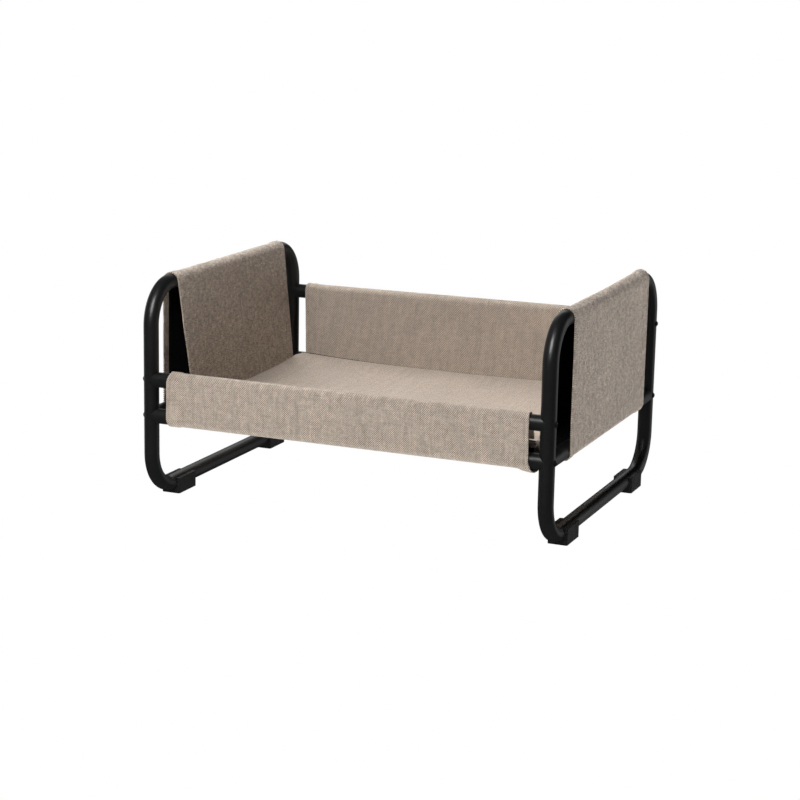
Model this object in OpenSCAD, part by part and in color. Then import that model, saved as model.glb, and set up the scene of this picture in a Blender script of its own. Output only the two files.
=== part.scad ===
// Raised pet bed: two bent-tube end loops joined by four bolted rails,
// with a fabric seat hung between four fabric slings.
// X is the long direction, -Y is the front, Z is up, and the floor is at Z = 0.

/* [Frame] */
// Outer diameter of every tube
tube_d = 25; // [22:0.5:28]
// Wall thickness of every tube
tube_wall = 1.5; // [1:0.1:2]
// Distance between the centre planes of the two end loops
loop_gap = 685; // [600:5:900]
// Distance between the leg axes of one end loop
leg_gap = 532; // [480:2:640]
// Centreline radius of the four bends of a loop
bend_r = 64; // [50:1:70]
// Height of a loop's bottom bar axis above the floor
bottom_z = 19; // [18:0.5:24]
// Height of a loop's top bar axis
top_z = 360; // [340:5:480]

/* [Rails] */
// Height of the cross bars and of both lower rails
lower_z = 147; // [130:1:170]
// Height of the front upper rail
front_upper_z = 207.5; // [190:0.5:230]
// Height of the rear upper rail
rear_upper_z = 274; // [240:1:290]

/* [Fasteners] */
// Diameter of the bolt shanks
bolt_d = 6; // [5:1:8]
// Length of the bolt shanks
bolt_l = 40; // [36:1:45]
// Diameter of the domed bolt heads
head_d = 10.5; // [9:0.5:12]
// Height of the domed bolt heads
head_h = 3.2; // [2.5:0.1:4]
// Width across flats of the hexagon sockets
socket_w = 4; // [3:0.5:5]
// Length of the threaded inserts inside the rail ends
insert_l = 20; // [16:1:30]

/* [Feet] */
// Length of a foot along the bottom bar
foot_l = 60; // [50:1:70]
// Width of a foot across the bottom bar
foot_w = 33; // [31:0.5:38]
// Height of the foot walls above the bottom bar axis
foot_rise = 7.5; // [4:0.5:8]

/* [Fabric] */
// Thickness of one fabric layer
cloth_t = 1.5; // [1:0.1:2]
// Width of the two end slings
end_sling_w = 400; // [360:2:402]
// Length of the front and rear slings
long_sling_l = 630; // [560:2:640]
// Distance from an end loop's plane to the seam at the end of the seat
end_inset = 36; // [30:1:44]
// Distance from the leg axes to the seams at the front and rear of the seat
long_inset = 44; // [34:1:50]
// Height of the seat seams
seam_z = 166; // [162:0.5:170]
// How far each edge of a sling draws in between its bar and the seam
draw_in = 12; // [0:1:16]
// Corner radius of the seat
seat_corner_r = 22; // [10:1:30]

/* [Closures] */
// Width of the hook and loop strips
strip_w = 20; // [16:1:20]
// Thickness of one strip
strip_t = 1.2; // [0.8:0.1:1.2]

/* [Hidden] */
$fn = 64;

steel = "#1c1c1d";
plastic = "#141415";
zinc = "#242425";
face_cloth = "#ae9f92";
strip_cloth = "#0e0e0e";

tube_r = tube_d / 2;
bore_r = tube_r - tube_wall;
loop_x = loop_gap / 2;
leg_y = leg_gap / 2;
// Radial gap between a rail's bore and its insert
insert_gap = 0.1;
// Radial gap between a bolt and its threaded insert
thread_gap = 0.05;
// Radial gap between a bolt and the leg it passes through
hole_gap = 0.25;
// Distance from a leg's axis to the flat spot under each bolt head
spot_x = sqrt(tube_r * tube_r - pow(bolt_d / 2 + hole_gap, 2));
// Radial gap between fabric and the tube it passes over
cloth_gap = 0.3;
wrap_r = tube_r + cloth_gap;
// Inside radius of the fold at a seam
seam_r = 0.5;
// Largest angle between two points of a turn
turn_step = 7.5;
// Clear space between the seat's edge and each seam
seam_gap = 0.3;
// Space between the two fabric ends for the closed hook and loop strips
closure_gap = 2 * strip_t + 0.1;
// Distance from the cross bar's tangent line at which the inner fabric end stops
flap_start = 12;
// Length of the outer fabric end beyond the cross bar
tail_l = 34;
// Distance from the cross bar's tangent line to the strips
strip_start = 13;
// Every rail end, as [front or rear, height]
rail_rows = [[-1, lower_z], [-1, front_upper_z], [1, lower_z], [1, rear_upper_z]];

// ---- Frame ----

// Solid rounded rectangle of round bar, in the plane X = 0
module ring_bar(r) {
    straight_y = leg_gap - 2 * bend_r;
    straight_z = top_z - bottom_z - 2 * bend_r;
    for (s = [-1, 1]) {
        translate([0, s * leg_y, bottom_z + bend_r]) cylinder(h = straight_z, r = r);
        for (z = [bottom_z, top_z])
            translate([0, 0, z]) rotate([90, 0, 0]) cylinder(h = straight_y, r = r, center = true);
        for (t = [-1, 1])
            translate([0, s * straight_y / 2, (bottom_z + top_z) / 2 + t * straight_z / 2])
                rotate([0, 90, 0])
                    rotate([0, 0, s > 0 ? (t > 0 ? 90 : 0) : (t > 0 ? 180 : 270)])
                        rotate_extrude(angle = 90) translate([bend_r, 0]) circle(r);
    }
}

// One end loop, bored for the bolts, with a flat spot under each bolt head
module end_loop(side) {
    color(steel) translate([side * loop_x, 0, 0]) difference() {
        ring_bar(tube_r);
        ring_bar(bore_r);
        for (row = rail_rows) translate([0, row[0] * leg_y, row[1]]) rotate([0, side * 90, 0]) {
            cylinder(h = 2 * tube_d, r = bolt_d / 2 + hole_gap, center = true);
            translate([0, 0, spot_x]) cylinder(h = tube_r, r = head_d / 2 + hole_gap);
        }
    }
}

// Straight tube welded between the two legs of one loop, its ends shaped to the legs
module cross_bar(side) {
    color(steel) translate([side * loop_x, 0, lower_z]) difference() {
        rotate([90, 0, 0]) cylinder(h = leg_gap, r = tube_r, center = true);
        rotate([90, 0, 0]) cylinder(h = leg_gap + 2, r = bore_r, center = true);
        for (s = [-1, 1]) translate([0, s * leg_y, 0]) {
            cylinder(h = 2 * tube_d, r = tube_r, center = true);
            // room for the lower rail inside, and for the bolt's head outside
            rotate([0, -side * 90, 0]) cylinder(h = tube_d, r = tube_r + hole_gap);
            rotate([0, side * 90, 0]) cylinder(h = tube_d, r = head_d / 2 + hole_gap);
        }
    }
}

// Straight tube between the two loops, its ends shaped to the legs
module rail(row) {
    color(steel) translate([0, row[0] * leg_y, row[1]]) difference() {
        rotate([0, 90, 0]) cylinder(h = loop_gap, r = tube_r, center = true);
        rotate([0, 90, 0]) cylinder(h = loop_gap + 2, r = bore_r, center = true);
        for (s = [-1, 1]) translate([s * loop_x, 0, 0]) cylinder(h = 2 * tube_d, r = tube_r, center = true);
    }
}

// Threaded inserts pressed into both ends of one rail
module inserts(row) {
    color(zinc) for (s = [-1, 1]) translate([s * loop_x, row[0] * leg_y, row[1]]) difference() {
        rotate([0, -s * 90, 0]) cylinder(h = tube_r + insert_l, r = bore_r - insert_gap);
        rotate([0, -s * 90, 0]) cylinder(h = 2 * tube_d, r = bolt_d / 2 + thread_gap);
        cylinder(h = 2 * tube_d, r = tube_r, center = true);
    }
}

// Domed bolt with a hexagon socket, its head's underside at Z = 0 and its shank below
module bolt() {
    dome_r = (pow(head_d / 2, 2) + head_h * head_h) / (2 * head_h);
    difference() {
        rotate_extrude() intersection() {
            translate([0, head_h - dome_r]) circle(dome_r);
            square([head_d / 2, head_h]);
        }
        translate([0, 0, head_h / 3]) cylinder(h = head_h, d = socket_w / cos(30), $fn = 6);
    }
    translate([0, 0, -bolt_l]) cylinder(h = bolt_l + head_h / 6, d = bolt_d);
}

module bolts(side) {
    color(zinc) for (row = rail_rows)
        translate([side * (loop_x + spot_x), row[0] * leg_y, row[1]]) rotate([0, side * 90, 0]) bolt();
}

// ---- Feet ----

module rounded_block(w, l, h, r) {
    translate([-w / 2 + r, -l / 2, 0]) cube([w - 2 * r, l, h]);
    translate([-w / 2, -l / 2 + r, 0]) cube([w, l - 2 * r, h]);
    for (x = [-1, 1], y = [-1, 1]) translate([x * (w / 2 - r), y * (l / 2 - r), 0]) cylinder(h = h, r = r);
}

// Push-on foot: a flat pad with two side walls that hug the bottom bar
module foot(side, row) {
    foot_y = leg_y - bend_r - foot_l / 2 + 1;
    color(plastic) translate([side * loop_x, row * foot_y, 0]) difference() {
        rounded_block(foot_w, foot_l, bottom_z + foot_rise, 3);
        translate([0, 0, bottom_z]) rotate([90, 0, 0]) cylinder(h = foot_l + 2, r = tube_r, center = true);
    }
}

// ---- Fabric ----
// A fabric path passes round pins [x, y, radius] in anticlockwise order. It is followed at
// an offset from the pins: 0 for the fabric's inner face and cloth_t for its outer face.

function unit(angle) = [cos(angle), sin(angle)];
function run_dir(p, q) = [q.x - p.x, q.y - p.y];
// Angle of the outward normal of the straight run from pin p to pin q
function run_normal(p, q) =
    let (d = run_dir(p, q)) atan2(d.y, d.x) - 90 + asin((p.z - q.z) / norm(d));
function run_length(p, q) = sqrt(pow(norm(run_dir(p, q)), 2) - pow(p.z - q.z, 2));
// Point on the run from pin p to pin q, at a distance along it
function run_point(p, q, along, offset) =
    let (a = run_normal(p, q)) [p.x, p.y] + (p.z + offset) * unit(a) + along * unit(a + 90);
// Points round pin p, between the runs that come from and go to its neighbours
function turn_points(before, p, after, offset) =
    let (from = run_normal(before, p), sweep = (run_normal(p, after) - from + 720) % 360,
        n = ceil(sweep / turn_step))
    [for (k = [0:n]) [p.x, p.y] + (p.z + offset) * unit(from + sweep * k / n)];
function reversed(list) = [for (i = [len(list) - 1:-1:0]) list[i]];

// Closed sleeve round three pins
module sleeve_profile(a, b, c) {
    difference() {
        polygon(sleeve_points(a, b, c, cloth_t));
        polygon(sleeve_points(a, b, c, 0));
    }
}

function sleeve_points(a, b, c, offset) = concat(
    turn_points(c, a, b, offset), turn_points(a, b, c, offset), turn_points(b, c, a, offset));

// Pins of an end sling, with the cross bar at the origin and the outside of the bed at +X
end_bar = [0, 0, wrap_r];
end_top = [0, top_z - lower_z, wrap_r];
end_seam = [-end_inset, seam_z - lower_z, seam_r];
// The inner end of the fabric runs above the outer end, one closure apart
flap_bar = [0, 0, wrap_r - cloth_t - closure_gap];
tail_seam = [end_seam.x, end_seam.y, seam_r + cloth_t + closure_gap];
// The strips lie between those ends
hook_bar = [0, 0, flap_bar.z + cloth_t];
hook_seam = [end_seam.x, end_seam.y, seam_r + cloth_t];
loop_bar = [0, 0, hook_bar.z + closure_gap / 2];
loop_seam = [end_seam.x, end_seam.y, hook_seam.z + closure_gap / 2];

// One face of an end sling: from its outer end round the cross bar, up the outside, over the
// top bar, down to the seam and round it to its inner end, which closes on the outer end
function end_sling_points(offset) = concat(
    [run_point(tail_seam, end_bar, run_length(tail_seam, end_bar) - tail_l, offset)],
    turn_points(tail_seam, end_bar, end_top, offset),
    turn_points(end_bar, end_top, end_seam, offset),
    turn_points(end_top, end_seam, flap_bar, offset),
    [run_point(end_seam, flap_bar, run_length(end_seam, flap_bar) - flap_start, offset)]);

module end_sling_profile() {
    polygon(concat(end_sling_points(cloth_t), reversed(end_sling_points(0))));
}

// A strip of the closure, on the run from a pin at the seam to one at the cross bar
module strip_profile(seam_pin, bar_pin) {
    end = run_length(seam_pin, bar_pin) - strip_start;
    polygon([run_point(seam_pin, bar_pin, end - strip_w, 0), run_point(seam_pin, bar_pin, end - strip_w, strip_t),
        run_point(seam_pin, bar_pin, end, strip_t), run_point(seam_pin, bar_pin, end, 0)]);
}

// Stretches a profile along Y at one end of the bed
module across_end(side, w) {
    translate([side * loop_x, 0, lower_z]) mirror([side < 0 ? 1 : 0, 0, 0])
        rotate([90, 0, 0]) linear_extrude(w, center = true) children();
}

// Stretches a profile along X at the front or rear of the bed
module along_side(row, l) {
    translate([0, row * leg_y, lower_z]) mirror([0, row < 0 ? 1 : 0, 0])
        rotate([90, 0, 90]) linear_extrude(l, center = true) children();
}

// Outline, across the sling and up, that narrows from both bars towards the seam
module drawn_in_outline(w, low_z, high_z) {
    margin = 2 * wrap_r;
    polygon([[-w / 2, low_z - margin], [w / 2, low_z - margin], [w / 2, low_z],
        [w / 2 - draw_in, seam_z], [w / 2, high_z], [w / 2, high_z + margin],
        [-w / 2, high_z + margin], [-w / 2, high_z], [-w / 2 + draw_in, seam_z], [-w / 2, low_z]]);
}

module end_sling(side) {
    inner_w = 2 * (end_inset + wrap_r);
    color(face_cloth) intersection() {
        across_end(side, end_sling_w) end_sling_profile();
        union() {
            translate([side * (loop_x + tube_d), 0, top_z / 2])
                cube([2 * tube_d + 2 * tube_r, leg_gap, top_z * 2], center = true);
            translate([side * (loop_x - inner_w / 2), 0, 0]) rotate([90, 0, 90])
                linear_extrude(inner_w, center = true) drawn_in_outline(end_sling_w, lower_z, top_z);
        }
    }
}

module long_sling(row, upper_z) {
    bar = [0, 0, wrap_r];
    top = [0, upper_z - lower_z, wrap_r];
    seam = [-long_inset, seam_z - lower_z, seam_r];
    inner_w = 2 * (long_inset + wrap_r);
    color(face_cloth) intersection() {
        along_side(row, long_sling_l) sleeve_profile(bar, top, seam);
        union() {
            translate([0, row * (leg_y + tube_d), top_z / 2])
                cube([loop_gap, 2 * tube_d + 2 * tube_r, top_z * 2], center = true);
            translate([0, row * (leg_y - inner_w / 2), 0]) rotate([90, 0, 0])
                linear_extrude(inner_w, center = true) drawn_in_outline(long_sling_l, lower_z, upper_z);
        }
    }
}

// Flat fabric seat between the four seams
module seat_sheet() {
    edge = seam_r + cloth_t + seam_gap;
    color(face_cloth) translate([0, 0, seam_z - cloth_t / 2]) rounded_block(
        loop_gap - 2 * (end_inset + edge), leg_gap - 2 * (long_inset + edge), cloth_t, seat_corner_r);
}

module hook_strip(side) {
    color(strip_cloth) across_end(side, end_sling_w - 4 * draw_in) strip_profile(hook_seam, hook_bar);
}

module loop_strip(side) {
    color(strip_cloth) across_end(side, end_sling_w - 4 * draw_in) strip_profile(loop_seam, loop_bar);
}

end_loop(-1);  // left_end_loop
end_loop(1);  // right_end_loop
cross_bar(-1);  // left_cross_bar
cross_bar(1);  // right_cross_bar
rail(rail_rows[0]);  // front_lower_rail
rail(rail_rows[1]);  // front_upper_rail
rail(rail_rows[2]);  // rear_lower_rail
rail(rail_rows[3]);  // rear_upper_rail
inserts(rail_rows[0]);  // front_lower_inserts
inserts(rail_rows[1]);  // front_upper_inserts
inserts(rail_rows[2]);  // rear_lower_inserts
inserts(rail_rows[3]);  // rear_upper_inserts
bolts(-1);  // left_bolts
bolts(1);  // right_bolts
foot(-1, -1);  // front_left_foot
foot(1, -1);  // front_right_foot
foot(-1, 1);  // rear_left_foot
foot(1, 1);  // rear_right_foot
end_sling(-1);  // left_end_sling
end_sling(1);  // right_end_sling
long_sling(-1, front_upper_z);  // front_sling
long_sling(1, rear_upper_z);  // rear_sling
seat_sheet();
hook_strip(-1);  // left_hook_strip
loop_strip(-1);  // left_loop_strip
hook_strip(1);  // right_hook_strip
loop_strip(1);  // right_loop_strip
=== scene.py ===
import math

import bpy
from mathutils import Matrix, Vector, noise


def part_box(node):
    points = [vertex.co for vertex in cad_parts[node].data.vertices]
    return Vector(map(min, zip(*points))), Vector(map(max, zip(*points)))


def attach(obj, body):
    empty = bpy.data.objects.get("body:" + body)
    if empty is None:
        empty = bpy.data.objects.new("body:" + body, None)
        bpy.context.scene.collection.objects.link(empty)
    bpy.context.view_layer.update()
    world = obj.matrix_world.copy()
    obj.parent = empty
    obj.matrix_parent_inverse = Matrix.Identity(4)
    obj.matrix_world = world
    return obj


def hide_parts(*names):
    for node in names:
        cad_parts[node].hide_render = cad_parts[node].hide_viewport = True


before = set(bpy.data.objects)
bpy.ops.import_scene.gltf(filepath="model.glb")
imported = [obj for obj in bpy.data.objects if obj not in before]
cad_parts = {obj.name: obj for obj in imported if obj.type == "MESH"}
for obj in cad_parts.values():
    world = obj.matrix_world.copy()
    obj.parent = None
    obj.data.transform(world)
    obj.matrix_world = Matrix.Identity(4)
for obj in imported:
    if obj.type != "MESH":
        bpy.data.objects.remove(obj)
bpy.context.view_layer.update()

MM = 0.001

# ---------------------------------------------------------------- measures from the frame


def centre(node):
    lo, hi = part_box(node)
    return (lo + hi) / 2


LOOP_LO, LOOP_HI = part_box("right_end_loop")
SEAT_LO, SEAT_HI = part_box("seat_sheet")
TUBE_R = (LOOP_HI.x - LOOP_LO.x) / 2
LOOP_X = centre("right_end_loop").x
LEG_Y = LOOP_HI.y - TUBE_R
TOP_Z = LOOP_HI.z - TUBE_R
LOWER_Z = centre("left_cross_bar").z
FRONT_UPPER_Z = centre("front_upper_rail").z
REAR_UPPER_Z = centre("rear_upper_rail").z
SEAT_X, SEAT_Y = SEAT_HI.x, SEAT_HI.y
SEAT_Z = (SEAT_LO.z + SEAT_HI.z) / 2
END_HALF_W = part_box("left_end_sling")[1].y
LONG_HALF_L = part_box("front_sling")[1].x

# ---------------------------------------------------------------- fabric measures

CLOTH_T = 1.1 * MM
FOLD_GAP = 0.2 * MM  # air in a folded edge
TUBE_GAP = 0.15 * MM
HEM = 16 * MM  # width turned in at a sling's edges
SEAT_HEM = 14 * MM  # width turned in round the seat
EDGE_BAND = 30 * MM  # stations this close to an edge follow the edge
SEAM_R = 0.5 * MM
# The seam fold stands this far outside the seat's own edge
SEAM_OUT = 1.2 * MM
DRAW_IN = 12 * MM  # an end sling's edges come in by this at its seam
STITCH_INSET = 6.5 * MM
STITCH_SUNK = 0.55 * MM  # from the hem's face down to the stitches

# An end sling starts TAIL before its cross bar, goes round the bar, the top bar and the
# seam, and ends FLAP_SHORT before the cross bar again. The flap and the tail lie over each
# other with the closure's two strips between them.
TAIL = 34 * MM
FLAP_SHORT = 12 * MM
STRIP_T = 1.2 * MM
STRIP_W = 20 * MM
STRIP_GAP = 0.05 * MM
STRIP_START = 13 * MM  # the strips' distance from the cross bar, along the flap
CLOSURE = 2 * (STRIP_T + STRIP_GAP)

# Height of the seat's seams, against the CAD seam: at the corners, and in the middle
CORNER_RISE = 3 * MM
END_SEAM_DROP = 7 * MM
LONG_SEAM_DROP = 4.5 * MM
SEAT_SAG = 6 * MM

# ---------------------------------------------------------------- small helpers


def smooth(t):
    t = max(0.0, min(1.0, t))
    return t * t * (3 - 2 * t)


def keyed(keys, s):
    """Value at s of (position, value) keys, in straight lines between them."""
    if s <= keys[0][0]:
        return keys[0][1]
    for (a, va), (b, vb) in zip(keys, keys[1:]):
        if s <= b:
            return va + (vb - va) * ((s - a) / (b - a) if b > a else 1.0)
    return keys[-1][1]


def ripple(a, b, c, seed):
    """Smooth noise from about -1 to 1."""
    return noise.noise(Vector((a, b, c + 31.7 * seed)))


def mesh_object(name, verts, faces, mats=(), mat_index=None, weave=None, sharp=None):
    me = bpy.data.meshes.new(name)
    me.from_pydata([tuple(v) for v in verts], [], faces)
    for m in mats:
        me.materials.append(m)
    if mat_index:
        me.polygons.foreach_set("material_index", mat_index)
    if weave:
        at = me.attributes.new("weave", "FLOAT_VECTOR", "POINT")
        at.data.foreach_set("vector", [c for w in weave for c in w])
    me.validate()
    me.update()
    me.shade_smooth()
    if sharp:
        me.set_sharp_from_angle(angle=math.radians(sharp))
    ob = bpy.data.objects.new(name, me)
    bpy.context.scene.collection.objects.link(ob)
    return ob


def layered_faces(rows, columns, under_index=lambda i, j: 1):
    """Faces of a sheet, and a material index for each.

    The sheet's points come row by row, each upper point followed by the one under it."""
    faces, index = [], []

    def vid(i, j, under):
        return (i * columns + j) * 2 + under

    for i in range(rows - 1):
        for j in range(columns - 1):
            faces.append((vid(i, j, 0), vid(i, j + 1, 0), vid(i + 1, j + 1, 0), vid(i + 1, j, 0)))
            faces.append((vid(i, j, 1), vid(i + 1, j, 1), vid(i + 1, j + 1, 1), vid(i, j + 1, 1)))
            index += [0, under_index(i, j)]
        for j, flip in ((0, False), (columns - 1, True)):
            side = (vid(i, j, 0), vid(i + 1, j, 0), vid(i + 1, j, 1), vid(i, j, 1))
            faces.append(side[::-1] if flip else side)
            index.append(0)
    for i, flip in ((0, False), (rows - 1, True)):
        for j in range(columns - 1):
            end = (vid(i, j, 0), vid(i, j, 1), vid(i, j + 1, 1), vid(i, j + 1, 0))
            faces.append(end[::-1] if flip else end)
            index.append(0)
    return faces, index


# ---------------------------------------------------------------- paths round the bars
# A path passes round pins (x, y, radius) anticlockwise. For a sling, x is outward from its
# bars and y is up, both from the lower bar.


def run_normal(p, q):
    dx, dy = q[0] - p[0], q[1] - p[1]
    return math.atan2(dy, dx) - math.pi / 2 + math.asin((p[2] - q[2]) / math.hypot(dx, dy))


def run_length(p, q):
    return math.sqrt((q[0] - p[0]) ** 2 + (q[1] - p[1]) ** 2 - (p[2] - q[2]) ** 2)


class Path:
    """Line round pins[1:-1], from `lead` before the first of them to `trail` after the last."""

    RUN_STEP = 8 * MM
    TURN_STEP = math.radians(9)

    def __init__(self, pins, lead, trail):
        self.samples = []  # (distance along, point, normal angle)
        self.marks = []  # distance at each tangent point
        s = 0.0
        for i in range(len(pins) - 1):
            p, q = pins[i], pins[i + 1]
            a = run_normal(p, q)
            full = run_length(p, q)
            first = full - lead if i == 0 else 0.0
            last = trail if i == len(pins) - 2 else full
            n = max(1, math.ceil((last - first) / self.RUN_STEP))
            start = s - first
            for k in range(n + 1):
                along = first + (last - first) * k / n
                if k == 0 and self.samples:
                    continue
                x = p[0] + p[2] * math.cos(a) - along * math.sin(a)
                y = p[1] + p[2] * math.sin(a) + along * math.cos(a)
                self.samples.append((start + along, (x, y), a))
            s = start + last
            self.marks.append(s)
            if i == len(pins) - 2:
                break
            b = run_normal(q, pins[i + 2])
            sweep = (b - a) % (2 * math.pi)
            m = max(3, math.ceil(sweep / self.TURN_STEP))
            for k in range(1, m + 1):
                c = a + sweep * k / m
                point = (q[0] + q[2] * math.cos(c), q[1] + q[2] * math.sin(c))
                self.samples.append((s + q[2] * sweep * k / m, point, c))
            s += q[2] * sweep
            self.marks.append(s)
        self.length = s

    def at(self, s):
        """(point, normal angle) at a distance along the path."""
        sm = self.samples
        lo, hi = 0, len(sm) - 1
        while hi - lo > 1:
            mid = (lo + hi) // 2
            if sm[mid][0] <= s:
                lo = mid
            else:
                hi = mid
        (s0, p0, a0), (s1, p1, a1) = sm[lo], sm[hi]
        t = (s - s0) / (s1 - s0) if s1 > s0 else 0.0
        turn = (a1 - a0 + math.pi) % (2 * math.pi) - math.pi
        return (p0[0] + (p1[0] - p0[0]) * t, p0[1] + (p1[1] - p0[1]) * t), a0 + turn * t


# ---------------------------------------------------------------- slings


def end_place(side):
    return lambda x, y, across: Vector((side * (LOOP_X + x), across, LOWER_Z + y))


def long_place(row):
    return lambda x, y, across: Vector((across, row * (LEG_Y + x), LOWER_Z + y))


def hem_stations():
    """Cross-section of a sling from edge to edge, as (side, inset or share, height, normal).

    side -1 and 1 are measured in from that edge, and side 0 is a share of the middle width."""
    lift = CLOTH_T + FOLD_GAP
    low, high = CLOTH_T / 2, lift + CLOTH_T / 2
    half = []
    for k in range(4):  # the folded-in layer, from its cut edge to the fold
        d = HEM + (2.2 * MM - HEM) * k / 3
        half.append((d, low, (0, -1)))
    mid, rho = (low + high) / 2, (high - low) / 2
    for k in range(7):  # the fold
        c = -math.pi / 2 + math.pi * k / 6
        inset = rho + CLOTH_T / 2 - rho * math.cos(c)
        half.append((inset, mid + rho * math.sin(c), (math.cos(c), math.sin(c))))
    # the face over the folded-in layer, dented under the stitches
    for d in (3, 4.6, 5.7, 6.5, 7.3, 9, 11, 14, 16, 18, 20, 22.5, 26, 30):
        fall = 1 - smooth((d * MM - HEM) / (8 * MM))
        dent = 0.6 * MM if d == 6.5 else 0.0
        half.append((d * MM, low + (high - low) * fall - dent, (0, 1)))
    left = [(-1, d, n, (-nx, nn)) for d, n, (nx, nn) in half]
    right = [(1, d, n, (nx, nn)) for d, n, (nx, nn) in reversed(half)]
    return left, right


class Sling:
    """A band of cloth with hemmed edges that follows a path round two bars and a seam.

    widths are (distance along, reach of the edge on side -1, reach on side 1)."""

    def __init__(self, path, place, widths, drop, seed, wave):
        self.path, self.place = path, place
        self.reach_keys = {
            -1: [(s, low) for s, low, _ in widths],
            1: [(s, high) for s, _, high in widths],
        }
        self.drop, self.seed, self.wave = drop, seed, wave

    def reach(self, s, side):
        """Distance of an edge from the sling's middle line."""
        return keyed(self.reach_keys[side], s)

    def point(self, s, share, across, height):
        """share runs from -1 to 1 across the sling, across is the distance from its middle line."""
        (x, y), a = self.path.at(s)
        lift = height + self.wave(s, share, across)
        return self.place(
            x + lift * math.cos(a), y + lift * math.sin(a) + self.drop(s, share), across
        )

    def share(self, s, across):
        return across / self.reach(s, 1 if across > 0 else -1)

    def edge_wander(self, s, side):
        return 0.5 * MM * ripple(s / (22 * MM), side * 3.1, 0.5, self.seed)

    def build(self, name, mats, middle_step=9 * MM):
        left, right = hem_stations()
        n_mid = 2 * math.ceil((self.reach_keys[1][0][1] - EDGE_BAND) / middle_step)
        mids = [(0, 2 * k / n_mid - 1, CLOTH_T / 2, (0, 1)) for k in range(1, n_mid)]
        stations = left + mids + right
        rings = []
        for s, _, _ in self.path.samples:
            low, high = -self.reach(s, -1) + EDGE_BAND, self.reach(s, 1) - EDGE_BAND
            ring = []
            for side, d, n, (na, nn) in stations:
                for sign in (1, -1):
                    off = sign * CLOTH_T / 2
                    if side:
                        wander = side * self.edge_wander(s, side)
                        across = side * (self.reach(s, side) - d) + na * off + wander
                    else:
                        across = low + (high - low) * (d + 1) / 2
                    ring.append((across, n + nn * off))
            rings.append((s, ring))
        verts, weave = [], []
        for s, ring in rings:
            for across, height in ring:
                verts.append(self.point(s, self.share(s, across), across, height))
                weave.append((s, across, height))
        faces, index = layered_faces(len(rings), len(stations))
        return mesh_object(name, verts, faces, mats, index, weave, sharp=50)


def stitch_row(verts, faces, curve, total, pitch=3.6 * MM, length=2.7 * MM, radius=0.3 * MM):
    """Adds one row of stitches. curve(s, height) is a point over the cloth's face."""
    count = int(total / pitch)
    first = (total - count * pitch) / 2
    profile = [(0.0, -0.25), (0.12, 0.55), (0.5, 0.9), (0.88, 0.55), (1.0, -0.25)]
    sides = 6
    for k in range(count):
        s0 = first + k * pitch
        pts = [curve(s0 + t * length, h * radius) for t, h in profile]
        up = (curve(s0 + length / 2, radius) - curve(s0 + length / 2, 0)).normalized()
        ahead = (pts[-1] - pts[0]).normalized()
        out = ahead.cross(up).normalized()
        base = len(verts)
        for (t, _), p in zip(profile, pts):
            r = radius * (0.55 if t in (0.0, 1.0) else 1.0)
            for q in range(sides):
                c = 2 * math.pi * q / sides
                verts.append(p + r * (math.cos(c) * out + math.sin(c) * up))
        for a in range(len(profile) - 1):
            for q in range(sides):
                n = (q + 1) % sides
                ring, ahead_ring = base + a * sides, base + (a + 1) * sides
                faces.append((ring + q, ring + n, ahead_ring + n, ahead_ring + q))
        faces.append(tuple(base + q for q in reversed(range(sides))))
        last = base + (len(profile) - 1) * sides
        faces.append(tuple(last + q for q in range(sides)))


# ---------------------------------------------------------------- materials


class Nodes:
    """A material's node tree, with short calls for the nodes used here."""

    def __init__(self, name):
        self.mat = bpy.data.materials.new(name)
        self.mat.use_nodes = True
        self.tree = self.mat.node_tree
        self.bsdf = self.tree.nodes["Principled BSDF"]

    def add(self, kind, **values):
        node = self.tree.nodes.new(kind)
        for key, value in values.items():
            if hasattr(node, key):
                setattr(node, key, value)
            else:
                node.inputs[key].default_value = value
        return node

    def link(self, a, b):
        self.tree.links.new(a, b)

    def math(self, op, a, b=None, clamp=False):
        node = self.add("ShaderNodeMath", operation=op, use_clamp=clamp)
        for k, v in enumerate((a, b)):
            if v is None:
                continue
            if isinstance(v, (int, float)):
                node.inputs[k].default_value = v
            else:
                self.link(v, node.inputs[k])
        return node.outputs[0]

    def mix(self, factor, a, b, blend="MIX"):
        node = self.add("ShaderNodeMix", data_type="RGBA", blend_type=blend)
        for socket, v in ((node.inputs[0], factor), (node.inputs[6], a), (node.inputs[7], b)):
            if isinstance(v, (int, float)):
                socket.default_value = v
            elif isinstance(v, tuple):
                socket.default_value = (*v, 1)
            else:
                self.link(v, socket)
        return node.outputs[2]

    def noise(self, vector, scale, detail=2.0, rough=0.5):
        node = self.add("ShaderNodeTexNoise")
        node.inputs["Scale"].default_value = scale
        node.inputs["Detail"].default_value = detail
        node.inputs["Roughness"].default_value = rough
        self.link(vector, node.inputs["Vector"])
        return node.outputs[0]

    def vector(self, x, y, z=0.0):
        node = self.add("ShaderNodeCombineXYZ")
        for k, v in enumerate((x, y, z)):
            if isinstance(v, (int, float)):
                node.inputs[k].default_value = v
            else:
                self.link(v, node.inputs[k])
        return node.outputs[0]

    def remap(self, value, low, high, out_low, out_high):
        node = self.add("ShaderNodeMapRange")
        node.inputs[1].default_value = low
        node.inputs[2].default_value = high
        node.inputs[3].default_value = out_low
        node.inputs[4].default_value = out_high
        self.link(value, node.inputs[0])
        return node.outputs[0]

    def bump(self, height, distance, strength=1.0):
        node = self.add("ShaderNodeBump")
        node.inputs["Strength"].default_value = strength
        node.inputs["Distance"].default_value = distance
        self.link(height, node.inputs["Height"])
        self.link(node.outputs[0], self.bsdf.inputs["Normal"])
        return node

    def set(self, **values):
        for key, value in values.items():
            self.bsdf.inputs[key.replace("_", " ")].default_value = value


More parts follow.
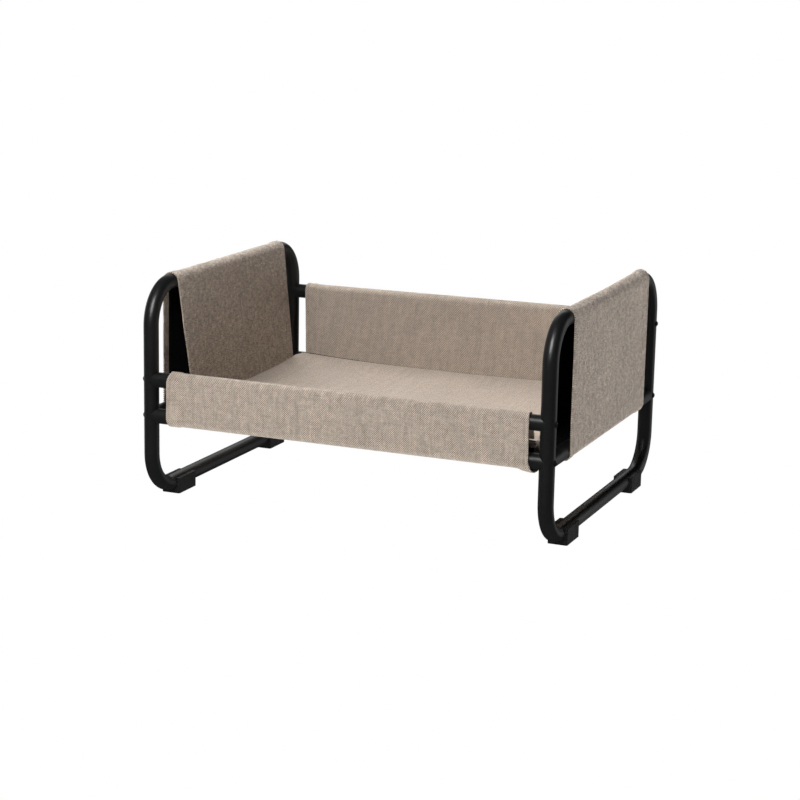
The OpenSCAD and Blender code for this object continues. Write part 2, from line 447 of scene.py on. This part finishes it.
def woven(name, warp, weft, pitch=1.7 * MM, grain=1.0, slubs=0.0):
    """Plain weave of two yarns, placed by the cloth's own lengthways and crossways distances.

    grain scales the shading of single yarns, slubs the thick and thin stretches of the weft."""
    m = Nodes(name)
    at = m.add("ShaderNodeAttribute", attribute_name="weave")
    sep = m.add("ShaderNodeSeparateXYZ")
    m.link(at.outputs["Vector"], sep.inputs[0])
    # yarns wander a little, so that no line is ruler-straight
    wander_a = m.math("MULTIPLY", m.math("SUBTRACT", m.noise(at.outputs["Vector"], 90.0, 1.0), 0.5), 0.9)
    wander_b = m.math("MULTIPLY", m.math("SUBTRACT", m.noise(at.outputs["Vector"], 70.0, 1.0), 0.5), 0.9)
    a = m.math("ADD", m.math("DIVIDE", sep.outputs[0], pitch), wander_a)
    b = m.math("ADD", m.math("DIVIDE", sep.outputs[1], pitch), wander_b)
    row, col = m.math("FLOOR", a), m.math("FLOOR", b)
    fa, fb = m.math("FRACT", a), m.math("FRACT", b)
    parity = m.math("MODULO", m.math("ABSOLUTE", m.math("ADD", row, col)), 2.0)

    def bulge(f):
        t = m.math("SUBTRACT", m.math("MULTIPLY", f, 2.0), 1.0)
        return m.math("SQRT", m.math("SUBTRACT", 1.0, m.math("MULTIPLY", t, t), clamp=True))

    ua, ub = bulge(fa), bulge(fb)
    # parity 1: the warp yarn, which runs lengthways, is on top
    over = m.math("MULTIPLY", ub, m.math("ADD", 0.35, m.math("MULTIPLY", ua, 0.65)))
    under = m.math("MULTIPLY", ua, m.math("ADD", 0.35, m.math("MULTIPLY", ub, 0.65)))
    height = m.math(
        "ADD", m.math("MULTIPLY", over, parity), m.math("MULTIPLY", under, m.math("SUBTRACT", 1.0, parity))
    )
    # each yarn keeps its own shade, with thicker and thinner stretches along it
    along_warp = m.vector(m.math("MULTIPLY", a, 0.055), m.math("MULTIPLY", col, 3.7), 0.3)
    along_weft = m.vector(m.math("MULTIPLY", row, 3.7), m.math("MULTIPLY", b, 0.055), 7.3)
    slub_warp = m.noise(along_warp, 1.0, 2.0, 0.6)
    slub_weft = m.noise(along_weft, 1.0, 2.0, 0.6)
    shade_warp = m.remap(slub_warp, 0.3, 0.7, 1 - 0.14 * grain, 1 + 0.12 * grain)
    shade_weft = m.remap(slub_weft, 0.3, 0.7, 1 - 0.24 * grain, 1 + 0.26 * grain)
    shade_under = m.math("MULTIPLY", shade_weft, m.math("SUBTRACT", 1.0, parity))
    shade = m.math("ADD", m.math("MULTIPLY", shade_warp, parity), shade_under)
    fibres = m.noise(at.outputs["Vector"], 2600.0, 2.0, 0.6)
    cloudy = m.noise(at.outputs["Vector"], 9.0, 3.0, 0.6)
    mottle = m.noise(at.outputs["Vector"], 210.0, 3.0, 0.75)
    streak_at = m.vector(m.math("MULTIPLY", sep.outputs[0], 9.0), m.math("MULTIPLY", sep.outputs[1], 90.0))
    streak = m.noise(streak_at, 1.0, 2.0, 0.6)
    light = m.math("MULTIPLY", shade, m.remap(fibres, 0.3, 0.7, 0.88, 1.12))
    light = m.math("MULTIPLY", light, m.remap(cloudy, 0.3, 0.7, 0.96, 1.04))
    patch = m.noise(at.outputs["Vector"], 75.0, 2.0, 0.7)
    light = m.math("MULTIPLY", light, m.remap(patch, 0.3, 0.7, 1 - 0.10 * grain, 1 + 0.10 * grain))
    light = m.math("MULTIPLY", light, m.remap(mottle, 0.3, 0.7, 1 - 0.12 * grain, 1 + 0.12 * grain))
    light = m.math("MULTIPLY", light, m.remap(streak, 0.3, 0.7, 0.94, 1.06))
    # painted shade: the cloth's colour is darkened where the weave lies low, at the yarns' edges and
    # crossings, as if shade fell there
    light = m.math("MULTIPLY", light, m.remap(height, 0.0, 1.0, 0.62, 1.06))
    if slubs:
        # thick stretches of single yarns, a few crossings long, and a soft mottle
        thick_weft = m.vector(m.math("MULTIPLY", row, 3.7), m.math("MULTIPLY", b, 0.17), 11.0)
        thick_warp = m.vector(m.math("MULTIPLY", a, 0.17), m.math("MULTIPLY", col, 3.7), 17.0)
        soft_s, soft_a = m.math("MULTIPLY", sep.outputs[0], 420.0), m.math("MULTIPLY", sep.outputs[1], 170.0)
        soft = m.vector(soft_s, soft_a, 5.0)
        for place, part in ((thick_weft, 1.0), (thick_warp, 0.6), (soft, 0.4)):
            clot = m.noise(place, 1.0, 1.0, 0.5)
            swing = part * slubs
            light = m.math("MULTIPLY", light, m.remap(clot, 0.36, 0.64, 1 - swing, 1 + swing))
    colour = m.mix(parity, weft, warp)
    gain = m.vector(light, light, light)
    m.link(m.mix(1.0, colour, gain, "MULTIPLY"), m.bsdf.inputs["Base Color"])
    bumpy = m.math("ADD", height, m.math("MULTIPLY", fibres, 0.25))
    m.bump(bumpy, 0.45 * MM, 0.8)
    m.set(Roughness=0.92, Specular_IOR_Level=0.18, Sheen_Weight=0.15, Sheen_Roughness=0.5)
    return m.mat


def backing(name):
    """Black coating on the reverse of the cloth, with the weave faintly pressed through."""
    m = Nodes(name)
    at = m.add("ShaderNodeAttribute", attribute_name="weave")
    fine = m.noise(at.outputs["Vector"], 900.0, 2.0)
    broad = m.noise(at.outputs["Vector"], 25.0, 2.0)
    colour = m.mix(broad, (0.0022, 0.0021, 0.0021), (0.0045, 0.0042, 0.004))
    m.link(colour, m.bsdf.inputs["Base Color"])
    m.link(m.remap(fine, 0.3, 0.7, 0.85, 0.98), m.bsdf.inputs["Roughness"])
    m.bump(fine, 0.3 * MM, 0.6)
    m.set(Specular_IOR_Level=0.1)
    return m.mat


def powder_coat(name):
    m = Nodes(name)
    co = m.add("ShaderNodeTexCoord").outputs["Object"]
    peel = m.noise(co, 900.0, 2.0, 0.5)
    broad = m.noise(co, 14.0, 3.0, 0.5)
    scuff = m.noise(co, 60.0, 4.0, 0.7)
    colour = m.mix(broad, (0.0082, 0.0085, 0.0089), (0.0112, 0.0113, 0.0116))
    m.link(colour, m.bsdf.inputs["Base Color"])
    rough = m.math("ADD", m.remap(broad, 0.3, 0.7, 0.31, 0.36), m.remap(scuff, 0.5, 0.8, 0.0, 0.06))
    m.link(rough, m.bsdf.inputs["Roughness"])
    m.bump(peel, 0.03 * MM, 0.3)
    m.set(Specular_IOR_Level=0.25)
    return m.mat


def moulded(name):
    m = Nodes(name)
    co = m.add("ShaderNodeTexCoord").outputs["Object"]
    grain = m.noise(co, 1500.0, 2.0, 0.6)
    broad = m.noise(co, 40.0, 3.0, 0.5)
    colour = m.mix(broad, (0.006, 0.006, 0.0062), (0.0095, 0.0093, 0.009))
    m.link(colour, m.bsdf.inputs["Base Color"])
    m.link(m.remap(broad, 0.3, 0.7, 0.55, 0.68), m.bsdf.inputs["Roughness"])
    m.bump(grain, 0.05 * MM, 0.4)
    m.set(Specular_IOR_Level=0.25)
    return m.mat


def dark_steel(name, base, metallic, rough):
    m = Nodes(name)
    co = m.add("ShaderNodeTexCoord").outputs["Object"]
    grain = m.noise(co, 2200.0, 2.0, 0.6)
    broad = m.noise(co, 120.0, 2.0, 0.5)
    colour = m.mix(broad, tuple(c * 0.8 for c in base), tuple(c * 1.2 for c in base))
    m.link(colour, m.bsdf.inputs["Base Color"])
    m.link(m.remap(broad, 0.3, 0.7, rough - 0.05, rough + 0.07), m.bsdf.inputs["Roughness"])
    m.bump(grain, 0.03 * MM, 0.4)
    m.set(Metallic=metallic)
    return m.mat


def napped(name):
    m = Nodes(name)
    co = m.add("ShaderNodeTexCoord").outputs["Object"]
    pile = m.add("ShaderNodeTexVoronoi")
    pile.inputs["Scale"].default_value = 1100.0
    m.link(co, pile.inputs["Vector"])
    colour = m.mix(pile.outputs["Distance"], (0.012, 0.012, 0.012), (0.004, 0.004, 0.004))
    m.link(colour, m.bsdf.inputs["Base Color"])
    m.bump(pile.outputs["Distance"], 0.4 * MM, 0.8)
    m.set(Roughness=0.9, Sheen_Weight=0.1)
    return m.mat


def thread(name, colour):
    m = Nodes(name)
    co = m.add("ShaderNodeTexCoord").outputs["Object"]
    ply = m.noise(co, 3500.0, 1.0, 0.5)
    m.link(
        m.mix(ply, tuple(c * 0.75 for c in colour), tuple(c * 1.2 for c in colour)),
        m.bsdf.inputs["Base Color"],
    )
    m.bump(ply, 0.1 * MM, 0.6)
    m.set(Roughness=0.6, Sheen_Weight=0.2)
    return m.mat


WARP, WEFT = (0.70, 0.605, 0.515), (0.28, 0.215, 0.162)
FRONT_FACE = woven("taupe_weave_front", WARP, WEFT, grain=1.15)
REAR_FACE = woven("taupe_weave_rear", WARP, WEFT, grain=0.75)
SEAT_FACE = woven("taupe_weave_seat", WARP, WEFT, grain=0.45)
END_FACE = woven("taupe_weave_ends", (0.80, 0.69, 0.59), (0.185, 0.135, 0.095), grain=1.1, slubs=0.22)
FACES = {
    "left_end_sling": END_FACE,
    "right_end_sling": END_FACE,
    "front_sling": FRONT_FACE,
    "rear_sling": REAR_FACE,
}
BACKING = backing("black_backing")
# The thread is taupe, set darker than the cloth: partly its own colour, partly painted shade along the sunk
# stitch rows
THREAD = thread("taupe_thread_with_painted_shade", (0.30, 0.25, 0.20))
TUBE = powder_coat("satin_black_coat")
PLASTIC = moulded("matt_black_plastic")
BOLT = dark_steel("black_oxide", (0.03, 0.03, 0.032), 0.8, 0.36)
ZINC = dark_steel("zinc_plate", (0.5, 0.5, 0.52), 1.0, 0.38)
NAP = napped("hook_and_loop")

TUBE_NODES = [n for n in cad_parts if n.endswith(("_loop", "_cross_bar", "_rail"))]
for node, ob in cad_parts.items():
    if node in TUBE_NODES:
        mat = TUBE
    elif node.endswith("_foot"):
        mat = PLASTIC
    elif node.endswith("_bolts"):
        mat = BOLT
    elif node.endswith("_inserts"):
        mat = ZINC
    else:
        continue
    ob.data.materials.clear()
    ob.data.materials.append(mat)

# ---------------------------------------------------------------- seam heights


def end_seam_height(across):
    """Height of an end seam over the CAD seam, at a distance from its middle."""
    f = min(1.0, abs(across) / SEAT_Y)
    return CORNER_RISE - (CORNER_RISE + END_SEAM_DROP) * (1 - f * f)


def long_seam_height(across):
    f = min(1.0, abs(across) / SEAT_X)
    return CORNER_RISE - (CORNER_RISE + LONG_SEAM_DROP) * (1 - f**2.6)


# ---------------------------------------------------------------- end slings

WRAP_R = TUBE_R + TUBE_GAP
end_bar = (0.0, 0.0, WRAP_R)
end_top = (0.0, TOP_Z - LOWER_Z, WRAP_R)
end_seam = (SEAT_X + SEAM_OUT - LOOP_X, SEAT_Z - LOWER_Z, SEAM_R)
flap_bar = (0.0, 0.0, WRAP_R - CLOTH_T - CLOSURE)
tail_seam = (end_seam[0], end_seam[1], SEAM_R + CLOTH_T + CLOSURE)


def end_sling(side, seed):
    pins = [tail_seam, end_bar, end_top, end_seam, flap_bar]
    trail = run_length(end_seam, flap_bar) - FLAP_SHORT
    path = Path(pins, TAIL, trail)
    bar_in, bar_out, top_in, top_out, seam_in, seam_out, end = path.marks
    run = run_length(end_seam, flap_bar)
    tail_run = run_length(tail_seam, end_bar)
    drop_keys = [
        (0.0, TAIL / tail_run),
        (bar_in, 0.0),
        (top_out, 0.0),
        (seam_in, 1.0),
        (seam_out, 1.0),
        (end, FLAP_SHORT / run),
    ]
    w = END_HALF_W
    # the band lies a little off centre, and is drawn in less at the front of the left seam
    front_in = 6 * MM if side < 0 else DRAW_IN
    front_out = 0.5 * MM if side < 0 else 3.5 * MM
    widths = [
        (0.0, w - 16 * MM, w - 16 * MM),
        (bar_in, w - 14 * MM, w - 14 * MM),
        (bar_in + 0.35 * (bar_out - bar_in), w - 10 * MM, w - 10 * MM),
        (bar_in + 0.6 * (bar_out - bar_in), w - 3.5 * MM, w - 4 * MM),
        (bar_out, w - front_out + 0.5 * MM, w - 1.5 * MM),
        (bar_out + 0.4 * (top_in - bar_out), w - front_out, w - 1 * MM),
        (top_in, w - 0.8 * front_out, w),
        (top_out, w - 0.5 * front_out, w),
        (top_out + 0.5 * (seam_in - top_out), w - 0.5 * front_in, w - 6.5 * MM),
        (seam_in, w - front_in, w - DRAW_IN),
        (seam_out, w - front_in, w - DRAW_IN),
        (end, w - 15 * MM, w - 15 * MM),
    ]

    # the right one sits a little high at the rear of its top bar
    slack = 3.4 * MM if side > 0 else 0.0
    slack_keys = [(bar_out, 0.0), (top_in, 1.0), (top_out, 1.0), (seam_in, 0.0)]

    def drop(s, share):
        seam_part = keyed(drop_keys, s) * end_seam_height(share * END_HALF_W)
        return seam_part + keyed(slack_keys, s) * slack * max(0.0, share) ** 1.4

    def wave(s, share, across):
        if top_out < s < seam_in:
            t = (s - top_out) / (seam_in - top_out)
        elif bar_out < s < top_in:
            t = (s - bar_out) / (top_in - bar_out)
        else:
            return 0.0
        body = math.sin(math.pi * t)
        broad = 0.9 * MM * ripple(across / (34 * MM), s / (150 * MM), 0.2, seed)
        fine = 0.35 * MM * ripple(across / (9 * MM), s / (60 * MM), 2.2, seed)
        return body * (broad + fine)

    return Sling(path, end_place(side), widths, drop, seed, wave)


def long_sling(row, upper_z, seed, loft, tilt, edges):
    """loft is the slack over the upper rail, and tilt how much more of it there is on the right."""
    bar = (0.0, 0.0, WRAP_R)
    top = (0.0, upper_z - LOWER_Z + loft, WRAP_R)
    seam = (SEAT_Y + SEAM_OUT - LEG_Y, SEAT_Z - LOWER_Z, SEAM_R)
    path = Path([seam, bar, top, seam], run_length(seam, bar), run_length(top, seam))
    bar_in, bar_out, top_in, top_out, end = path.marks
    drop_keys = [(0.0, 1.0), (bar_in, 0.0), (top_out, 0.0), (end, 1.0)]
    tilt_keys = [(bar_out, 0.0), (top_in, 1.0), (top_out, 1.0), (end, 0.0)]
    stops = {
        "seam_under": 0.0,
        "bar_in": bar_in,
        "bar_mid": bar_in + 0.4 * (bar_out - bar_in),
        "bar_out": bar_out,
        "top_in": top_in,
        "crest": (top_in + top_out) / 2,
        "top_out": top_out,
        "inner_mid": top_out + 0.5 * (end - top_out),
        "seam": end,
    }
    w = LONG_HALF_L
    widths = [(stops[k], w + low * MM, w + high * MM) for k, low, high in edges]
    curl_top = bar_in + 0.75 * (bar_out - bar_in)

    def drop(s, share):
        seam_part = keyed(drop_keys, s) * long_seam_height(share * LONG_HALF_L)
        return seam_part + keyed(tilt_keys, s) * tilt * share

    def wave(s, share, across):
        if top_out < s < end:
            t = (s - top_out) / (end - top_out)
        elif bar_out < s < top_in:
            t = (s - bar_out) / (top_in - bar_out)
        elif row < 0 and 0 < s < curl_top:
            # the front right corner hangs away from the lower rail
            return 5 * MM * smooth((share - 0.9) / 0.1) * math.sin(math.pi * s / curl_top) ** 0.5
        else:
            return 0.0
        body = math.sin(math.pi * t)
        broad = 0.6 * MM * ripple(across / (45 * MM), s / (120 * MM), 0.2, seed)
        fine = 0.25 * MM * ripple(across / (11 * MM), s / (50 * MM), 2.2, seed)
        return body * (broad + fine)

    return Sling(path, long_place(row), widths, drop, seed, wave)


# How far each edge stands out from the nominal one, in mm: (place, left edge, right edge)
FRONT_EDGES = [
    ("seam_under", -12, 9),
    ("bar_in", -10, 12),
    ("bar_mid", -9, 7),
    ("bar_out", -7, 1.5),
    ("top_in", -7.5, 1),
    ("crest", -11, -1),
    ("top_out", -9, -2),
    ("inner_mid", -10, -6),
    ("seam", -12, -10),
]
REAR_EDGES = [
    ("seam_under", -14, -12),
    ("bar_in", -8, -7),
    ("bar_mid", -6, -4),
    ("bar_out", -4, -1),
    ("top_in", -4, -0.5),
    ("top_out", -5, 0),
    ("inner_mid", -14, -7),
    ("seam", -23, -12),
]
slings = {
    "left_end_sling": end_sling(-1, 1),
    "right_end_sling": end_sling(1, 2),
    "front_sling": long_sling(-1, FRONT_UPPER_Z, 3, 1.2 * MM, 0.0, FRONT_EDGES),
    "rear_sling": long_sling(1, REAR_UPPER_Z, 4, 2.8 * MM, 1.7 * MM, REAR_EDGES),
}
FACE_TOP = 2 * CLOTH_T + FOLD_GAP


def sling_stitches(name, sling):
    """One row of stitches along each hem."""
    verts, faces = [], []
    for side in (-1, 1):

        def curve(s, height, side=side):
            s = max(0.0, min(sling.path.length, s))
            across = side * (sling.reach(s, side) - STITCH_INSET + sling.edge_wander(s, side))
            return sling.point(s, sling.share(s, across), across, FACE_TOP - STITCH_SUNK + height)

        stitch_row(verts, faces, curve, sling.path.length)
    return mesh_object(name, verts, faces, [THREAD])


for node, sling in slings.items():
    cloth = sling.build(node + "_cloth", [FACES[node], BACKING])
    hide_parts(node)
    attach(cloth, "root")
    stitches = sling_stitches(node + "_stitches", sling)
    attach(stitches, "root")
    width = 2 * (END_HALF_W if "end" in node else LONG_HALF_L) + 2 * HEM

# ---------------------------------------------------------------- hook and loop strips



def closure_strip(name, sling, half_w, low):
    """A strip under an end sling's flap. low is how far it starts from the sling's path."""
    end = sling.path.length
    first = end - (STRIP_START - FLAP_SHORT) - STRIP_W
    lengthways, crossways = 6, 60
    verts = []
    for i in range(lengthways + 1):
        s = first + STRIP_W * i / lengthways
        for j in range(crossways + 1):
            across = half_w * (2 * j / crossways - 1)
            for level in (low + STRIP_T, low):
                verts.append(sling.point(min(s, end), across / END_HALF_W, across, level))
    faces, _ = layered_faces(lengthways + 1, crossways + 1)
    return mesh_object(name, verts, faces, [NAP], sharp=40)


for name in ("left", "right"):
    half_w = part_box(name + "_hook_strip")[1].y
    for kind, low in (("hook", CLOTH_T), ("loop", CLOTH_T + STRIP_T + STRIP_GAP)):
        strip = closure_strip(f"{name}_{kind}_tape", slings[name + "_end_sling"], half_w, low)
        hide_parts(f"{name}_{kind}_strip")
        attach(strip, "root")

# ---------------------------------------------------------------- seat


def seat_height(x, y):
    """Height of the seat over the CAD seam: its four seams, carried inwards, less a sag."""
    fx, fy = x / SEAT_X, y / SEAT_Y
    ends, longs = end_seam_height(y), long_seam_height(x)
    corner = CORNER_RISE
    edge = ends + longs - corner
    inner = -END_SEAM_DROP - LONG_SEAM_DROP + 4 * MM
    rim = max(abs(fx), abs(fy)) ** 4
    blend = edge * rim + max(edge, inner) * (1 - rim)
    sag = SEAT_SAG * max(0.0, 1 - fx * fx) ** 0.9 * max(0.0, 1 - fy * fy) ** 0.9
    soft = 0.5 * MM * ripple(x / (60 * MM), y / (60 * MM), 0.0, 9) * (1 - rim)
    return blend - sag + soft


CORNER_R = 22 * MM
RIM_R = 1.2 * MM
# The seat's front right corner: how far it is drawn sideways, forwards and down
EAR_SIDE, EAR_FRONT, EAR_DROP = 12 * MM, 30 * MM, 3 * MM


def build_seat():
    radius, band = CORNER_R, SEAT_HEM
    half_x, half_y = SEAT_X, SEAT_Y

    def spaced(half, step, rim_steps):
        inner = half - rim_steps[-1]
        n = math.ceil(2 * inner / step)
        mids = [-inner + 2 * inner * k / n for k in range(n + 1)]
        return [-half + r for r in rim_steps[:-1]] + mids + [half - r for r in reversed(rim_steps[:-1])]

    near_rims = [0.0, 0.4 * MM, RIM_R, 3 * MM, 6 * MM, 10 * MM]
    rims = near_rims + [band - 0.01 * MM, band + 0.5 * MM, 18 * MM, radius]
    ys = spaced(half_y, 10 * MM, rims)
    xs = spaced(half_x, 10 * MM, rims)
    verts, weave = [], []
    for y in ys:
        over = max(0.0, abs(y) - (half_y - radius))
        reach = half_x - radius + math.sqrt(max(0.0, radius * radius - over * over))
        for x0 in xs:
            x = x0 * reach / half_x
            # distance from the rim, round the corners too
            cx, cy = max(0.0, abs(x) - (half_x - radius)), max(0.0, abs(y) - (half_y - radius))
            if cx > 0 and cy > 0:
                d = radius - math.hypot(cx, cy)
            else:
                d = min(half_x - abs(x), half_y - abs(y))
            z = SEAT_Z + seat_height(x, y)
            # the front right corner is drawn out over the lower rail
            ear = smooth((x0 / half_x - 0.95) / 0.03) * smooth((-y - half_y + 30 * MM) / (18 * MM))
            x += ear * (half_x + EAR_SIDE - reach)
            out = ear * EAR_FRONT
            z -= ear * EAR_DROP
            inward = min(1.0, max(0.0, d) / RIM_R)
            rounding = CLOTH_T * (1 - math.sqrt(max(0.0, 1 - (1 - inward) ** 2)))
            low = 2 * CLOTH_T + FOLD_GAP if d < band else CLOTH_T
            verts.append(Vector((x, y - out, z + CLOTH_T / 2 - rounding)))
            verts.append(Vector((x, y - out, z + CLOTH_T / 2 - low + rounding)))
            weave.append((y - out, x, 0.0))
            weave.append((y - out, x, 0.01))

    def under_index(i, j):
        """The face's cloth where it is turned under, and the backing inside of that."""
        near_x = min(half_x - abs(xs[j]), half_x - abs(xs[j + 1])) < band
        near_y = min(half_y - abs(ys[i]), half_y - abs(ys[i + 1])) < band
        return 0 if near_x or near_y else 1

    faces, index = layered_faces(len(ys), len(xs), under_index)
    return mesh_object("seat_cloth", verts, faces, [SEAT_FACE, BACKING], index, weave, sharp=50)


seat = build_seat()
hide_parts("seat_sheet")
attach(seat, "root")

# ---------------------------------------------------------------- floor, light, camera


def white_stage(name, verts, faces):
    """A surface that only the camera sees, so that it doesn't light the object."""
    m = Nodes(name)
    m.set(Base_Color=(0, 0, 0, 1), Specular_IOR_Level=0.0)
    m.bsdf.inputs["Emission Color"].default_value = (1, 1, 1, 1)
    m.bsdf.inputs["Emission Strength"].default_value = 1.0
    ob = mesh_object(name, verts, faces, [m.mat])
    ob.visible_diffuse = ob.visible_glossy = ob.visible_transmission = ob.visible_shadow = False


def floor():
    size = 30.0
    low = [(-size, -size, 0), (size, -size, 0), (size, size, 0), (-size, size, 0)]
    high = [(x, y, size) for x, y, _ in low]
    white_stage("pale_floor", low, [(0, 1, 2, 3)])
    walls = [(k, k + 4, (k + 1) % 4 + 4, (k + 1) % 4) for k in range(4)]
    white_stage("pale_backdrop", low + high, walls + [(4, 7, 6, 5)])


def area_light(name, azimuth, elevation, distance, width, height, watts, diffuse=True, glossy=True):
    a, e = math.radians(azimuth), math.radians(elevation)
    back = Vector((math.sin(a) * math.cos(e), -math.cos(a) * math.cos(e), math.sin(e)))
    data = bpy.data.lights.new(name, "AREA")
    data.shape = "ELLIPSE"
    data.size, data.size_y = width, height
    data.energy = watts
    ob = bpy.data.objects.new(name, data)
    target = Vector((0, 0, 0.18))
    ob.location = target + back * distance
    ob.rotation_euler = back.to_track_quat("Z", "Y").to_euler()
    ob.visible_diffuse, ob.visible_glossy = diffuse, glossy
    bpy.context.scene.collection.objects.link(ob)


def camera():
    """The photograph's camera: turned 22.5 degrees right of the front and 12.8 up, tilted a degree."""
    az, el, roll = 0.3932, 0.22329, 0.01973  # radians
    distance = 3.60806
    sensor, focal_per_sensor = 36.0, 2.66336
    target = Vector((-0.01046, -0.00433, 0.15458))
    back = Vector((math.sin(az) * math.cos(el), -math.cos(az) * math.cos(el), math.sin(el)))
    right = Vector((math.cos(az), math.sin(az), 0))
    up = back.cross(right)
    x = math.cos(roll) * right + math.sin(roll) * up
    y = -math.sin(roll) * right + math.cos(roll) * up
    data = bpy.data.cameras.new("camera")
    data.sensor_width = sensor
    data.lens = sensor * focal_per_sensor
    data.clip_end = 50.0
    ob = bpy.data.objects.new("camera", data)
    turn = Matrix((x, y, back)).transposed().to_4x4()
    ob.matrix_world = Matrix.Translation(target + back * distance) @ turn
    bpy.context.scene.collection.objects.link(ob)
    bpy.context.scene.camera = ob


floor()
area_light("front_left", -45, 20, 3.0, 2.4, 2.4, 13.1, glossy=False)
area_light("back_left", -135, 45, 3.0, 2.4, 2.4, 84.6, glossy=False)
area_light("key", -15, 60, 2.8, 1.4, 1.4, 45.4, glossy=False)
area_light("top_left", -110, 60, 2.8, 1.4, 1.4, 18.9, glossy=False)
# These are only seen as reflections in the tubes
area_light("glint", 5, 40, 3.0, 1.2, 1.9, 150.0, diffuse=False)
area_light("edge_back", -158, 25, 3.0, 2.4, 1.6, 11.0, diffuse=False)
area_light("edge_left", -100, 5, 3.0, 2.4, 2.4, 9.0, diffuse=False)
area_light("edge_right", 128, 0, 3.0, 2.0, 2.4, 12.0, diffuse=False)
area_light("edge_low", 165, -12, 3.0, 2.4, 2.0, 2.2, diffuse=False)
camera()

scene = bpy.context.scene
scene.view_settings.view_transform = "Standard"
# Light from below the horizon only, as from a white floor
HORIZON_FADE = 0.05
FLOOR_GLOW = 1.2965
world = bpy.data.worlds.new("studio")
world.use_nodes = True
tree = world.node_tree
direction = tree.nodes.new("ShaderNodeTexCoord")
height = tree.nodes.new("ShaderNodeSeparateXYZ")
below = tree.nodes.new("ShaderNodeMapRange")
for k, v in enumerate((HORIZON_FADE, -HORIZON_FADE, 0.0, FLOOR_GLOW), 1):
    below.inputs[k].default_value = v
tree.links.new(direction.outputs["Generated"], height.inputs[0])
tree.links.new(height.outputs["Z"], below.inputs[0])
background = tree.nodes["Background"]
background.inputs["Color"].default_value = (1, 1, 1, 1)
tree.links.new(below.outputs[0], background.inputs["Strength"])
world.cycles_visibility.glossy = False
scene.world = world
